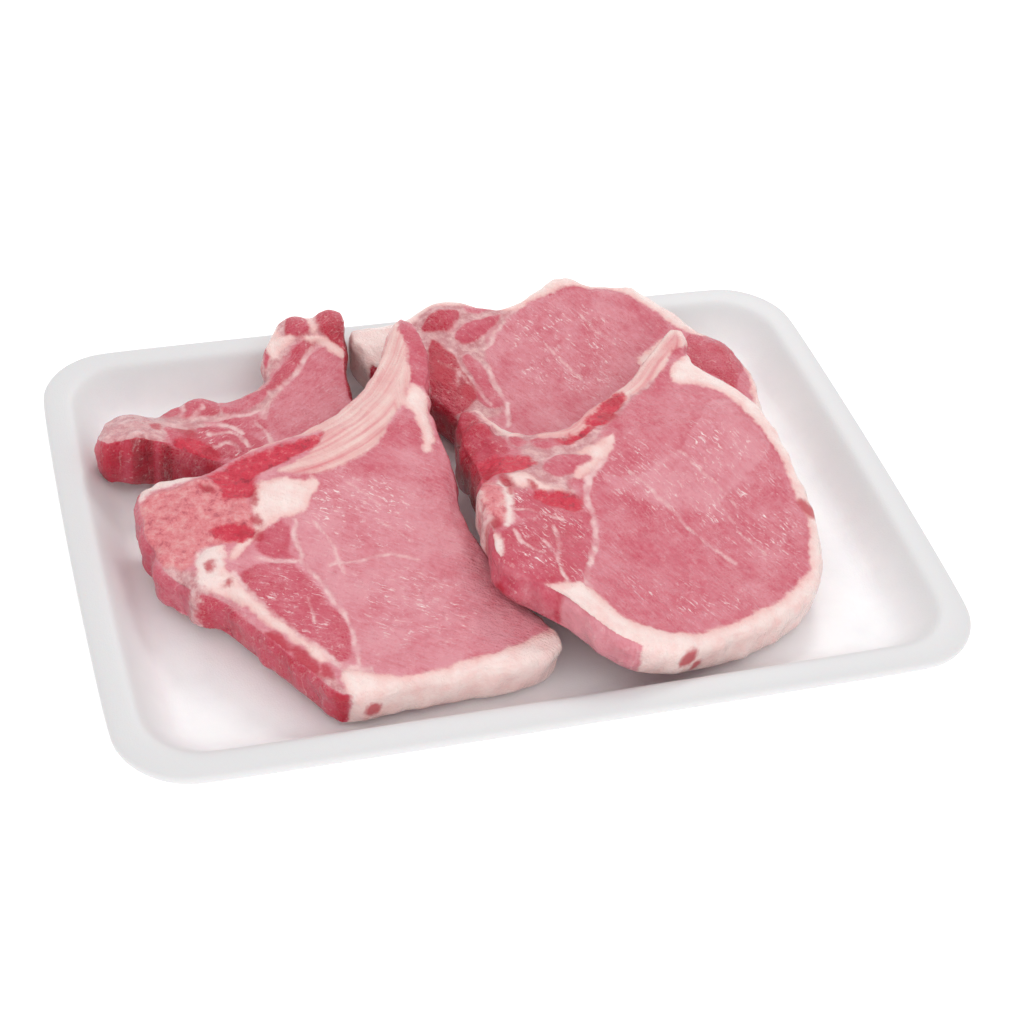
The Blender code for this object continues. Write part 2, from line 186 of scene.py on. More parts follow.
def isInside(spots, line):
    inside = np.zeros(len(spots), bool)
    x, y = spots.T
    for (x0, y0), (x1, y1) in zip(line[:-1], line[1:]):
        if y0 != y1:
            inside ^= ((y0 > y) != (y1 > y)) & (x < x0 + (y - y0) * (x1 - x0) / (y1 - y0))
    return inside


def reachInto(spots, points, closed=True):
    line = smoothLine(points, closed)
    reach = np.full(len(spots), -farAway)
    near = ((spots > line.min(0) - farAway) & (spots < line.max(0) + farAway)).all(axis=1)
    distance = np.minimum(nearestOn(spots[near], line)[0], farAway)
    within = isInside(spots[near], line) if closed else np.zeros(near.sum(), bool)
    reach[near] = np.where(within, distance, -distance)
    return reach


# the chops' patterns: loops are areas, lines are seams, numbers before them are depth of red or half width

frontLeft = {
    "name": "pork_chop_front_left",
    "nodes": ("front_left_lean", "front_left_fat", "front_left_bone"),
    "outline": [
        (-113, 3), (-112, 12), (-104, 17), (-95, 15.5), (-87, 16), (-78, 20), (-66, 21), (-57, 22), (-47, 27),
        (-38, 35), (-31, 44), (-24, 55), (-18.5, 66), (-14.5, 69), (-11, 64), (-9.5, 53), (-11, 42), (-14, 32),
        (-13, 18), (-12.5, 0), (-13, -14), (-10, -30), (-6, -46), (1, -60), (3, -66), (0, -72), (-12, -75.5),
        (-40, -76.5), (-62, -79), (-69, -77), (-75, -67), (-90, -43), (-98, -32), (-107, -25), (-112, -11),
    ],
    "seed": 1,
    "redness": 0.1,
    "grain": -32.0,       # degrees, the way its fibres lie
    "muscles": [
        (0.52, [(-78, -12), (-73, -10), (-70, -13), (-69, -18), (-71, -22), (-70, -25), (-75, -24),
                (-80, -21)]),
        (0.5, [(-87, -27), (-80, -24), (-72, -26), (-69, -29), (-67, -35), (-63, -40), (-60, -46), (-60, -55),
               (-61, -64), (-66, -66), (-71, -59), (-79, -48), (-85, -37)]),
        (0.34, [(-36, 12), (-31, 19), (-24, 26), (-21, 29), (-20, 20), (-19, 12), (-26, 10)]),
        (0.52, [(-18, 66), (-15, 70), (-9, 62), (-8, 48), (-12, 38), (-16, 37), (-20, 40), (-20, 52)]),
        (0.24, [(-66, 4), (-50, 8), (-36, 12), (-20, 13), (-12, 20), (-10, -4), (-40, 1), (-60, -2)]),
        (0.02, [(-68, -9), (-62, -9), (-56, -24), (-57, -40), (-60, -48), (-64, -40), (-67, -28)]),
    ],
    # patches where the pale threads gather: partly pale fibres, partly painted wet glints
    "fibreGlintPatches": [
        [(-58, -2), (-40, 2), (-30, -10), (-34, -22), (-52, -24), (-62, -14)],
        [(-50, -40), (-30, -38), (-22, -52), (-34, -64), (-52, -60)],
        [(-84, -28), (-70, -30), (-64, -46), (-66, -60), (-80, -44)],
    ],
    "gristle": [
        [(-108, -18), (-96, -30), (-84, -52), (-72, -68), (-66, -74), (-64, -80), (-72, -84), (-100, -50),
         (-112, -30)],
    ],
    "fat": [
        [(8, -57), (-2, -63.5), (-12, -68.5), (-28, -71.5), (-46, -73), (-57, -72), (-64, -68), (-66, -72),
         (-64, -82), (-50, -94), (-20, -90), (8, -82)],
        [(-68, -64), (-74, -55), (-80, -46), (-85, -37), (-88.5, -28), (-91, -23), (-90, -16), (-97, -17),
         (-100, -24), (-97, -31), (-93, -34), (-88, -40), (-82, -49), (-76, -57), (-71, -65)],
        [(-78, 2), (-73, 4.5), (-68, 4), (-63, 3), (-57, 1.5), (-60, -3), (-63, -7), (-68, -9), (-74, -11),
         (-79, -14), (-84, -19), (-90, -22), (-86, -15), (-79, -8)],
        [(-18, 37), (-15, 34), (-16, 28), (-15.5, 20), (-16, 15), (-19, 10), (-21, 11), (-20, 19), (-22, 26),
         (-25, 30)],
        [(-60, 26), (-55, 19.5), (-48, 23.5), (-40, 30), (-32, 40), (-25, 50), (-20.5, 60), (-17, 70),
         (-30, 64), (-45, 40)],
    ],
    "rib": [
        [(-84, 24), (-82, 17.5), (-70, 19), (-58, 19.5), (-52, 18), (-57, 13), (-62, 9), (-70, 7), (-62, 4),
         (-50, 5), (-41, 9), (-35, 14), (-30, 21), (-24, 29), (-19, 37), (-18, 46), (-17, 58), (-17, 68),
         (-26, 66), (-36, 50), (-50, 34), (-64, 26)],
    ],
    "bone": [
        [(-113, 4), (-109, 9), (-101, 11), (-92, 12.5), (-86, 7), (-80, 1), (-79, -8), (-83, -15), (-90, -16),
         (-97, -15), (-102, -22), (-108, -18), (-112, -10)],
    ],
    "cartilage": [
        [(-118, 7), (-111, 9), (-104, 12), (-96, 12.5), (-92, 14.5), (-92, 20), (-104, 24), (-118, 18)],
        [(-99, -18), (-95, -15.5), (-91, -18), (-92, -24), (-95, -30), (-99, -29)],
    ],
    "marrow": [
        [(-90, 13), (-86, 14.3), (-80, 16.6), (-70, 17.4), (-60, 17.6), (-52, 18), (-55, 14.5), (-63, 11),
         (-72, 9), (-76, 6), (-76, 2), (-79, -1), (-84, 0.5), (-88, 1.5), (-88, 6)],
        [(-93, -10), (-88, -9), (-82, -10), (-80, -13), (-84, -15.5), (-90, -15)],
    ],
    "blood": [
        [(-94, 9), (-91.5, 8.5), (-89.5, 5.5), (-90.5, 4.8), (-93, 6.8)],
        [(-97, -22), (-94, -21), (-93, -24), (-96, -25.5)],
        [(-92, -29), (-90, -28), (-90, -31), (-92, -32)],
        [(-86, -50), (-82, -50.5), (-78, -56), (-79, -59), (-82, -58)],
        [(-79, -58), (-76, -58), (-71, -66), (-73, -69), (-77, -64)],
        [(-71, -66), (-68.5, -66), (-68, -71), (-70, -72)],
        [(-78.8, 1.5), (-76.6, 2), (-76.8, -4), (-78.2, -4)],
        [(-79.5, -7), (-77, -7.5), (-77.5, -12), (-80, -11)],
        [(-86, -12), (-83, -11), (-82, -13), (-85, -14)],
        [(-81, -14), (-79, -13), (-77, -16), (-80, -17)],
    ],
    "seams": [
        (0.5, [(-68, -10), (-68, -20), (-66.5, -30), (-63, -38), (-60, -46), (-59, -58), (-60, -68)]),
        (0.5, [(-81, -22), (-75, -25), (-69, -26)]),
        (0.3, [(-69.5, -41), (-69.5, -50)]),
        (0.3, [(-62, -12), (-58, -22), (-57, -33)]),
        (0.3, [(-60, -30), (-50, -28.5), (-41, -28), (-33, -31)]),
        (0.2, [(-49, -1), (-44, -5), (-40, -9)]),
        (0.2, [(-44, -14), (-38, -19), (-34, -24)]),
        (0.9, [(-89, -26), (-85, -36), (-79, -47), (-71, -59), (-65, -67), (-57, -71)]),
    ],
    "bulges": [           # x, y, radius, height
        (-113, 9, 6, 1.6), (-113, -5, 5, 1.6), (-109, -17, 5, 2.2), (-99, -30, 5, 2.8), (-96, -21, 4, 1.2),
        (-114, 2, 2.5, -1.6), (-112, -11, 2.5, -1.8), (-105, -25, 2.5, -1.8), (-92, -36, 3, -1.6),
        (-84, -52, 3, 0.8), (-90, 10, 3, 0.8), (-84, -8, 3, 0.8), (-86, -1, 2.5, -0.7),
        (-77, -63, 3, 0.6), (-70, -73, 3, 0.7), (-66, -78, 3, -0.6),
    ],
    "stains": [           # x, y, z, radius
        (-96, -22, 28, 2.4), (-58, -79, 12, 2.8), (-60, -80, 8, 2.0), (-83, -52, 22, 2.2), (-76, -61, 21, 2.2),
        (-70, -69, 20, 2.0),
    ],
    "dips": [             # x, y, radius, depth, on the top only
        (-91.5, 7, 1.8, 1.6), (-82, 6, 6, 0.6), (-68, 12, 4, 0.5), (-99, 1, 5, -0.5), (-103, -24, 4, -0.8),
        (-70, 0, 5, -0.5), (-33, 28, 6, -0.6),
    ],
    "wall": {
        "redness": 0.45,
        "muscles": [
            (0.4, [(-125, 14), (-111, 14), (-104, -8), (-98, -18), (-104, -30), (-125, -30)]),
            (0.68, [(-98, -30), (-90, -30), (-78, -46), (-68, -64), (-64, -70), (-70, -92), (-100, -70)]),
        ],
        "blood": [[(-71, -68), (-67, -68), (-65, -82), (-69, -86)]],
    },
}
frontRight = {
    "name": "pork_chop_front_right",
    "nodes": ("front_right_lean", "front_right_fat", "front_right_bone"),
    "outline": [
        (-3, 31), (1, 28), (6, 18), (11, 10), (20, 8), (27, 9), (34, 16), (44, 22), (52, 27), (60, 36),
        (68, 44), (75, 51), (79, 51), (79.5, 43), (77, 35), (84, 25), (90, 15), (94.5, 3), (97.5, -13),
        (99, -28), (96.5, -43), (91, -57), (80, -68), (60, -76.5), (42, -81.5), (28, -83.5), (18, -82),
        (10, -76), (3, -68), (-5, -59), (-12, -52), (-14, -45), (-13, -34), (-13, -22), (-10, -13),
        (-8.5, -4), (-8.5, 10), (-7, 22),
    ],
    "seed": 2,
    "hangs": [            # x, y, radius, drop; the drop grows from nothing at the first height to all of it at
                          # the second, and fills the gap beside the front left chop
        (-5, 13, 9, 8.0, 34, 15), (-7, -8, 10, 7.0, 34, 19), (-11, -30, 9, 2.5, 36, 22),
        (-4, -48, 8, 1.0, 36, 21),
    ],
    "redness": 0.3,
    "grain": -58.0,
    "muscles": [
        (0.72, [(-6, 31), (-2, 28), (1, 18), (5, 8), (4, 1), (-3, 0), (-9, -4), (-14, 4), (-12, 24)]),
        # darker red for its own muscle and for painted shade on the wedge's shadowed left facet
        (0.95, [(-7, 26), (-6, 14), (-5, 4), (-6, -4), (-9, -10), (-14, -4), (-14, 18)]),
        (0.52, [(-13, -40), (-8, -37), (-3, -36), (2, -33), (8, -31), (15, -31), (21, -31), (20, -38),
                (18, -45), (15, -51), (13, -57), (9, -60.5), (4, -61), (-2, -60), (-8, -55), (-13, -50)]),
        (0.5, [(-2, -24), (3, -22), (9, -25), (17, -29), (20, -33), (14, -37), (6, -38), (-2, -35), (-4, -30)]),
        (0.46, [(13, -6), (18, -4), (24, -4.5), (29, -6.5), (30, -10.5), (25, -13), (19, -15), (15, -16),
                (11, -12)]),
        (0.5, [(6, 9), (9, 9), (12, 4), (10, 1.5), (7, 3)]),
        (0.5, [(12, 6), (17, 5), (23, 2), (21, -1.5), (15, -2), (12, 1)]),
        (0.5, [(69, 38), (74, 44), (77, 49), (79, 46), (75, 39), (71, 36)]),
        (0.1, [(30, -14), (40, -16), (60, -6), (78, 12), (90, -6), (84, -14), (60, -30), (34, -22)]),
    ],
    "fibreGlintPatches": [
        [(56, -4), (72, 2), (84, -8), (90, -26), (88, -44), (78, -54), (66, -46), (58, -26)],
        [(30, -10), (46, -2), (54, -14), (50, -34), (36, -30)],
        [(-6, -22), (8, -18), (20, -30), (18, -48), (6, -58), (-8, -50)],
        [(26, -60), (50, -58), (64, -64), (40, -72)],
    ],
    "gristle": [
        [(-3, 33), (2, 30), (7, 20), (12, 12), (24, 12), (36, 18), (50, 26), (64, 34), (62, 26), (52, 18),
         (43, 10), (35, 3), (30, -8), (24, -14), (18, -18), (20, -23), (9, -20), (-2, -20), (-4, -8), (4, -6),
         (8, 1), (4, 11), (-1, 25)],
    ],
    "fat": [
        [(-6, -62), (1, -60.5), (7, -61), (10, -62), (13, -67), (17, -71.5), (25, -76.5), (38, -78), (55, -73),
         (72, -66.5), (84, -57.5), (91, -46), (94, -32), (93.5, -17), (90.5, -5), (86, 6), (80.5, 15.5),
         (73, 21), (67, 23.5), (70, 32), (86, 37), (105, 10), (108, -40), (94, -74), (50, -92), (10, -92),
         (-4, -74)],
        [(-3, 33), (2, 30), (7, 20), (12, 12), (10, 9), (6, 10), (3, 17), (0, 25)],
        [(11, 12), (18, 10), (28, 12), (30, 9), (24, 6), (14, 8)],
        [(0, -13), (5, -13), (9, -16), (13, -19), (18, -21.5), (12, -21), (6, -19.5), (1, -20), (-1, -17)],
        [(24, -4), (32, -2), (39, 2), (36, -6), (30, -11), (25, -15), (21, -17), (23, -12), (29, -8)],
        [(-16, -38), (-11, -38), (-12, -48), (-9, -52), (-14, -56), (-18, -50)],
    ],
    "rib": [
        [(25, 3), (34, 7), (45, 14.5), (54, 21), (62, 27), (68, 33), (73, 39), (82, 44), (84, 54), (70, 52),
         (58, 38), (46, 28), (34, 22), (24, 14), (14, 11), (15, 5)],
    ],
    "bone": [
        [(-12, -15), (-6, -16), (-3.5, -21), (-4.5, -28), (-8, -34), (-11, -33), (-13, -24)],
    ],
    "cartilage": [
        [(-17, -12), (-11, -13), (-11.5, -20), (-12, -28), (-11.5, -35), (-16, -37)],
        [(-5, -15), (-1.5, -18), (-2, -24), (-4, -31), (-7.5, -36.5), (-9, -35), (-6, -30), (-4.5, -24),
         (-4.5, -19)],
        [(-14, -40), (-10.5, -41), (-11.5, -46), (-15, -47)],
    ],
    "marrow": [
        [(5, -22), (9, -20.5), (14, -21), (19, -22), (20.5, -26), (18, -29.5), (14, -28), (9, -26.5),
         (6, -25.5)],
        [(31, 8), (35, 12), (40, 18), (45, 21), (49, 21), (47, 16), (43, 12), (40, 8), (36, 6)],
        [(-10, -4), (-5, 0), (2, 0), (8, -3), (10, -7), (8, -10), (4, -11), (-2, -12), (-6, -11), (-8, -14),
         (-12, -14), (-12, -8)],
        [(20, 2), (26, 4), (33, 7), (34, 5), (27, 1), (21, -1)],
    ],
    "blood": [
        [(-3.5, -13), (-1.5, -12), (0, -16), (-1.5, -22), (-3, -22), (-3, -18)],
        [(-14, -33), (-10.5, -32.5), (-9.5, -35), (-12, -36)],
        [(93.5, -28), (96, -27), (98.5, -30), (97.5, -34), (94.5, -33.5)],
        [(38, 13), (42, 13), (43, 9), (39, 7.5)],
        [(42, 19), (46, 19.5), (46, 15.5), (43, 15.5)],
        [(-8, -6), (-3, -4), (-2, -8), (-6, -11), (-9, -10)],
        [(4, -17), (7, -17), (7.5, -20), (4.5, -20)],
    ],
    "seams": [
        (0.9, [(34, -8), (26, -14.5), (22.8, -22), (21.8, -32), (19.5, -42), (15, -52), (11, -60), (9, -68)]),
        (0.45, [(3, -43), (4.5, -50), (4, -56), (5, -61)]),
        (0.3, [(40, -14), (47, -25.5), (52.5, -34.5), (58, -43), (64, -50)]),
        (0.2, [(66, -26), (69, -36), (75, -47)]),
        (0.2, [(58, -8), (66, -18), (72, -30)]),
        (0.4, [(-6, -38), (-4, -44), (0, -48)]),
        (0.4, [(8, -37), (7, -44), (4, -50)]),
        (0.4, [(-2, -30), (5, -31), (12, -34)]),
        (0.8, [(13, -7), (20, -3.5), (29, -5)]),
        (0.7, [(11, 1), (14, -3), (12, -8), (8, -9)]),
        (0.6, [(-8, -36), (-7, -28), (-2, -22)]),
    ],
    "bulges": [
        (-9, -20, 4, 0.8), (-12, -30, 3, 0.6), (-12, -45, 4, 0.5), (-6, -8, 3, -0.8), (0, -64, 3, -0.9),
        (-3, 26, 4, 1.0), (-8, 12, 4, 0.6), (-1, 14, 2.5, 1.2), (1, 6, 2.5, 1.0), (9, -78, 5, 0.6),
        (33, -83, 4, 0.5), (26, -86, 3, -0.5),
    ],
    "stains": [(37, -81, 18, 3.4), (41, -80, 13, 2.4), (-12, -50, 26, 2.0), (97, -31, 20, 3.0)],
    "dips": [(-2, -17, 1.6, 1.2), (-12, -34, 1.8, 1.0), (-3, 14, 4, -2.2), (0, 24, 3, -0.8), (4, 14, 3, 1.0),
             (12, -25, 4, 0.4), (40, 13, 5, 0.5), (-8, -3, 3, 0.8), (2, -16, 6, -0.5), (17, 3, 5, -0.4)],
    "wall": {
        "redness": 0.45,
        "muscles": [
            (0.0, [(-2, -56), (6, -60), (14, -70), (22, -80), (22, -92), (0, -92), (-10, -66)]),
            (0.38, [(-18, -34), (-12, -34), (-10, -44), (-2, -56), (3, -62), (-2, -72), (-22, -66)]),
            # deep red on the left wall under the wedge: its own muscle and painted shade
            (0.72, [(-16, -14), (-4, -12), (0, 10), (0, 34), (-12, 36), (-18, 10)]),
            (1.1, [(-14, -10), (-4, -10), (-4, 6), (-14, 8)]),
        ],
        "blood": [[(0, -63), (2, -64), (1, -70), (-1, -68)]],
    },
}
backRight = {
    "name": "pork_chop_back_right",
    "nodes": ("back_right_lean", "back_right_fat"),
    "outline": [
        (-29.5, 77), (-28.5, 82.5), (-21, 83.5), (-12, 84), (-3, 85.5), (6, 88.5), (14, 86), (28, 83), (37, 87),
        (50, 92), (56, 89), (74, 87), (81, 81), (88, 73), (94, 65), (101, 58), (105, 47), (105, 34),
        (100, 20), (88, 9), (70, 3), (50, 2), (28, 6), (10, 17), (2, 28), (-4, 39), (-9, 47), (-18, 58),
        (-25, 66),
    ],
    "seed": 3,
    "redness": 0.22,
    "grain": -58.0,
    "muscles": [
        (0.74, [(-5, 78), (-2, 81), (4, 82.5), (9, 82), (10, 79), (7, 75), (3, 73), (-1, 73), (-4.5, 75)]),
        (0.5, [(4.5, 73), (9, 76), (15, 77.5), (22, 78), (25, 78.5), (21, 74), (17, 70), (12, 67), (7, 67),
               (4, 69)]),
        (0.3, [(11, 84), (16, 85), (21, 82), (17, 79.5), (12, 80)]),
        # deeper red, partly its own muscle and partly painted shadow cast by the front left chop's tip beside it
        (0.86, [(-3, 72), (1, 68), (4, 64), (5, 58), (6, 53), (7, 46), (4, 41), (-3, 38), (-9, 40), (-9, 52),
                (-6, 62)]),
        (0.42, [(5, 63), (9, 64), (12, 58), (14, 50), (15.5, 42), (13, 38), (8, 38), (6, 43), (6.5, 52)]),
        (0.66, [(90, 64), (96, 61.5), (102, 57), (104, 50), (103, 45), (99, 41), (97, 37), (95, 32), (93.5, 37),
                (92, 40), (88, 42), (84, 46), (82, 48), (84, 52), (86, 57)]),
        (0.45, [(82, 62), (85, 66), (88, 70), (86, 62), (83, 54), (80, 54)]),
        (0.3, [(56, 86), (68, 84), (76, 77), (82, 68), (80, 60), (74, 64), (70, 74), (60, 80)]),
        (0.45, [(38, 84), (44, 90), (52, 92), (56, 87), (48, 84.5)]),
        (0.5, [(69, 84), (74, 88), (78, 85), (75, 81)]),
        (0.5, [(-26, 74), (-20, 77), (-15, 70), (-18, 62), (-26, 66)]),
    ],
    "fibreGlintPatches": [
        [(24, 74), (44, 78), (60, 74), (60, 54), (46, 40), (30, 46), (22, 60)],
    ],
    "gristle": [
        [(-10, 76), (-4, 84), (14, 86), (30, 82), (26, 77), (14, 64), (14, 40), (8, 34), (-2, 34), (-12, 46),
         (-16, 60)],
    ],
    "fat": [
        [(-22, 54), (-15, 65), (-10, 78), (0, 84), (14, 84), (28, 80.5), (40, 83.5), (54, 86.5), (68, 83.5),
         (76, 78), (83, 69), (90, 63), (98, 60), (103, 52), (103, 40), (98, 25), (92, 14), (100, 4),
         (116, 20), (118, 60), (92, 94), (52, 106), (0, 100), (-40, 92), (-42, 68)],
        [(80, 62), (83, 60), (83, 52), (80, 48), (84, 43), (90, 40), (94, 33), (92, 20), (84, 26), (76, 36),
         (70, 46), (66, 52), (72, 58)],
    ],
    "marrow": [],
    "blood": [
        [(-4, 60), (-1, 62), (1, 56), (-2, 50), (-5, 54)],
        [(2, 50), (6, 49), (7, 44), (3, 43)],
    ],
    "seams": [
        (0.6, [(-2, 72), (3, 71), (8, 66), (15, 66), (20, 71), (25, 77), (30, 81)]),
        (0.5, [(3, 73), (8, 77), (14, 79), (22, 80)]),
        (0.7, [(0, 72), (4, 64.5), (5, 56), (8, 48), (10, 40)]),
        (0.7, [(9, 66), (13, 58), (14.5, 48), (15.5, 38), (13, 30)]),
        (0.3, [(-2, 62), (2, 57), (1, 50)]),
        (0.3, [(2, 58), (5, 50), (9, 45)]),
        (0.2, [(36, 63), (40, 55), (45, 47)]),
        (0.2, [(52, 74), (56, 66), (60, 60)]),
    ],
    "bulges": [(1, 84, 5, 0.8), (12, 86, 4, 0.6), (46, 91, 5, 0.8), (73, 87, 4, 0.8), (86, 72, 4, 0.7),
               (60, 88, 4, -0.5), (98, 56, 6, 0.6)],
    "dips": [(1, 78, 4, -0.8), (-1, 58, 4, 0.7), (93, 50, 8, -0.6), (14, 72, 5, -0.4)],
    "wall": {
        "redness": 0.5,
        "muscles": [
            # deep red on the left wall in the gap beside the back left chop: red muscle darkened with painted
            # shade of the gap
            (1.0, [(-24, 66), (-18, 70), (-8, 50), (0, 36), (-8, 30), (-22, 48)]),
        ],
    },
}
backLeft = {
    "name": "pork_chop_back_left",
    "nodes": ("back_left_lean", "back_left_fat", "back_left_bone"),
    "outline": [
        (-121, 41), (-118, 50), (-111, 55), (-105, 56), (-100, 54.5), (-92, 59), (-82, 61), (-75, 59.5),
        (-62, 64.5), (-61, 74), (-54, 85.5), (-49, 88.5), (-42, 87.5), (-33, 89.5), (-29.5, 86), (-31, 74),
        (-34, 60), (-34, 45), (-38, 26), (-52, 18), (-68, 22), (-85, 30), (-95, 33.5), (-105, 34.5), (-117, 36),
    ],
    "seed": 4,
    "redness": 0.24,
    "grain": 35.0,
    "muscles": [
        (0.55, [(-99, 58), (-92, 60), (-91, 54), (-95, 51.5), (-99, 52)]),
        (0.55, [(-91, 58), (-86, 61), (-81, 61), (-78.5, 57), (-79, 52), (-84, 50), (-90, 50), (-93, 52)]),
        (0.42, [(-79, 59), (-70, 59), (-62, 61), (-62, 56), (-68, 52), (-78, 50.5)]),
        (0.6, [(-63, 60), (-60, 63), (-55, 68), (-49, 74), (-43, 78), (-40, 75), (-46, 70), (-52, 64),
               (-57, 59)]),
        (0.6, [(-62, 68), (-61, 76), (-57, 80), (-55, 77), (-58, 71)]),
        (0.72, [(-52, 80), (-50, 86), (-46, 88), (-42.5, 87), (-42.5, 79), (-47, 77)]),
        (0.85, [(-41, 79), (-40, 87), (-35, 90), (-30, 88), (-28, 78), (-31, 66), (-34, 70), (-37, 74)]),
        (0.4, [(-80, 49), (-68, 50.5), (-65, 47), (-66, 42), (-70, 41), (-76, 44)]),
        (0.55, [(-88, 45), (-81, 45), (-74, 42), (-69, 38), (-67, 34), (-74, 31), (-84, 33), (-88, 38)]),
        (0.6, [(-99, 44), (-92, 45), (-86, 41), (-84, 30), (-92, 30), (-97, 37)]),
    ],
    "fibreGlintPatches": [
        [(-88, 44), (-76, 44), (-68, 36), (-78, 30), (-88, 36)],
    ],
    "gristle": [
        [(-124, 34), (-112, 33), (-100, 32), (-98, 40), (-90, 38), (-86, 41), (-84, 48), (-80, 50), (-64, 52),
         (-58, 58), (-64, 60), (-62, 63), (-68, 65), (-84, 63), (-104, 60), (-124, 56)],
        [(-70, 69), (-62, 62), (-58, 66), (-52, 72), (-46, 77), (-36, 74), (-33, 66), (-30, 90), (-54, 92),
         (-60, 80)],
    ],
    "fat": [
        [(-58, 70), (-54, 74), (-48, 78), (-53, 80), (-54, 86), (-58, 80)],
        [(-43, 78), (-41, 79), (-41, 88), (-43, 88)],
        [(-46, 77), (-40, 77), (-33, 72), (-33, 68), (-40, 73)],
    ],
    "marrow": [
        [(-96, 37), (-92, 40), (-86, 38), (-83, 33), (-88, 30), (-96, 34)],
    ],
    "blood": [
        [(-104, 46), (-100, 46.5), (-99, 43.5), (-102, 42)],
        [(-94, 44), (-89, 44.5), (-88.5, 41.5), (-93, 40.5)],
        [(-88, 37), (-84, 36), (-84, 32), (-88, 33)],
    ],
    "seams": [
        (0.8, [(-95, 50), (-86, 49.5), (-78, 49.5), (-70, 50), (-64, 52.5), (-60, 57)]),
        (0.8, [(-86, 46.5), (-81, 47), (-76, 44.5), (-74, 41)]),
        (0.6, [(-84, 42), (-79, 42.5), (-75, 39), (-72, 35)]),
        (0.5, [(-84, 37), (-79, 38), (-76, 34)]),
        (0.5, [(-68, 46), (-66, 40), (-65, 34)]),
        (0.9, [(-65, 48), (-62, 55), (-56, 60), (-50, 66), (-44, 72), (-38, 74), (-33, 70)]),
        (0.7, [(-91, 59), (-90.5, 55), (-92, 51)]),
        (0.7, [(-94, 51), (-90, 50), (-87, 52), (-85, 55)]),
        (0.7, [(-62, 66), (-57, 72), (-51, 77)]),
    ],
    "bulges": [
        (-118, 37, 5, 1.2), (-113, 35, 3, -0.8), (-108, 35, 4, 1.0), (-104, 34, 3, -1.6), (-100.5, 34, 2, 0.8),
        (-97.5, 33, 2.5, -1.4), (-92, 33, 4, 1.2), (-112, 56, 6, 0.8), (-100, 56, 4, -0.8), (-86, 61, 5, 0.8),
        (-75, 60, 4, -0.6), (-61, 72, 4, 0.8), (-58, 82, 3, -0.7), (-49, 88, 4, 0.8), (-42, 88, 3, -0.7),
        (-35, 89, 5, 1.2),
    ],
    "stains": [(-117, 36, 20, 2.4), (-89, 32, 22, 2.6), (-93, 33, 14, 2.0), (-110, 35, 8, 2.2),
               (-86, 30, 16, 2.0)],
    "dips": [(-108, 51, 7, -0.5), (-36, 82, 5, -0.8), (-47, 83, 4, -0.6), (-85, 56, 4, -0.6),
    (-78, 41, 4, -0.4)],
    "wall": {
        "redness": 0.75,
        "muscles": [
            (0.68, [(-128, 52), (-116, 50), (-112, 41), (-98, 40), (-84, 36), (-76, 30), (-80, 22), (-110, 24),
                    (-128, 30)]),
            (0.9, [(-118, 41), (-112, 41), (-112, 30), (-118, 30)]),
            (1.15, [(-108, 41), (-103, 41), (-103, 29), (-108, 29)]),
            (1.1, [(-100, 41), (-97, 41), (-97, 28), (-100, 28)]),
            # deep red on the right wall in the gap beside the back right chop: red muscle darkened with painted
            # shade of the gap
            (1.2, [(-38, 80), (-26, 80), (-24, 50), (-36, 44)]),
        ],
    },
}

# how the cut surfaces stand, in millimetres; pairs are a height and the size of its lumps
relief = {
    "voxel": 0.75,
    "seamGap": 0.45,         # swelling that closes the gaps between a chop's tissues before they are made one
    "softening": 9,
    "swell": (0.6, 19.0),    # slow unevenness of the meat
    "ripple": (0.3, 6.0),
    "fibre": (0.16, 2.2),
    "wallWave": (0.8, 5.0),
    "marrowCrumb": (0.6, 1.9),
    "wander": (1.3, 8.0),    # how far the drawn lines stray
    "waver": (0.6, 2.8),
    "fatProud": 0.35,
    "crown": 0.5,            # each muscle stands up between its seams
    "crownRun": 2.5,
    "seamDepth": 0.3,
    "boneProud": 0.5,
    "marrowSunk": 0.5,
    "sideTurn": (-0.82, -0.5),      # how steep a face is, from the first sign of side wall to all side wall
    "sideReach": (-11.0, -8.0),     # and how near the outline it lies
    "underTurn": (-0.75, -0.2),     # faces that look down keep their place
}
tissueKinds = ("gristle", "fat", "rib", "bone", "cartilage", "marrow", "blood")


def waves(kind, places, seed):
    height, size = relief[kind]
    return height * lumps(places, size, seed)


def hump(spots, x, y, radius):
    return np.exp(-((spots[:, 0] - x) ** 2 + (spots[:, 1] - y) ** 2) / radius ** 2)


def strayed(spots, seed):
    flat = np.column_stack([spots, np.zeros(len(spots))])
    shifts = [waves("wander", flat, seed + 50 + axis) + waves("waver", flat, seed + 60 + axis)
              for axis in (0, 1)]
    return spots + np.stack(shifts, axis=1)


def readTissues(spots, design):
    tissues = {}
    for kind in tissueKinds:
        reach = np.full(len(spots), -farAway)
        for loop in design.get(kind, ()):
            reach = np.maximum(reach, reachInto(spots, loop))
        tissues[kind] = reach
    redness = np.full(len(spots), design["redness"])
    crown = np.zeros(len(spots))
    for level, loop in design["muscles"]:
        reach = reachInto(spots, loop)
        redness += (level - redness) * eased(reach, -0.6, 0.8)
        crown = np.maximum(crown, 1.0 - np.exp(-np.maximum(reach, 0.0) / relief["crownRun"]))
    tissues["redness"] = redness
    tissues["crown"] = crown
    seam = np.full(len(spots), -farAway)
    for halfWidth, line in design["seams"]:
        seam = np.maximum(seam, halfWidth + reachInto(spots, line, closed=False))
    tissues["seam"] = seam
    # patches where the pale threads of fibre and painted wet glint gather
    fibreGlintPatches = np.zeros(len(spots))
    for loop in design["fibreGlintPatches"]:
        fibreGlintPatches = np.maximum(fibreGlintPatches, eased(reachInto(spots, loop), -5.0, 5.0))
    tissues["fibreGlintPatches"] = fibreGlintPatches
    return tissues


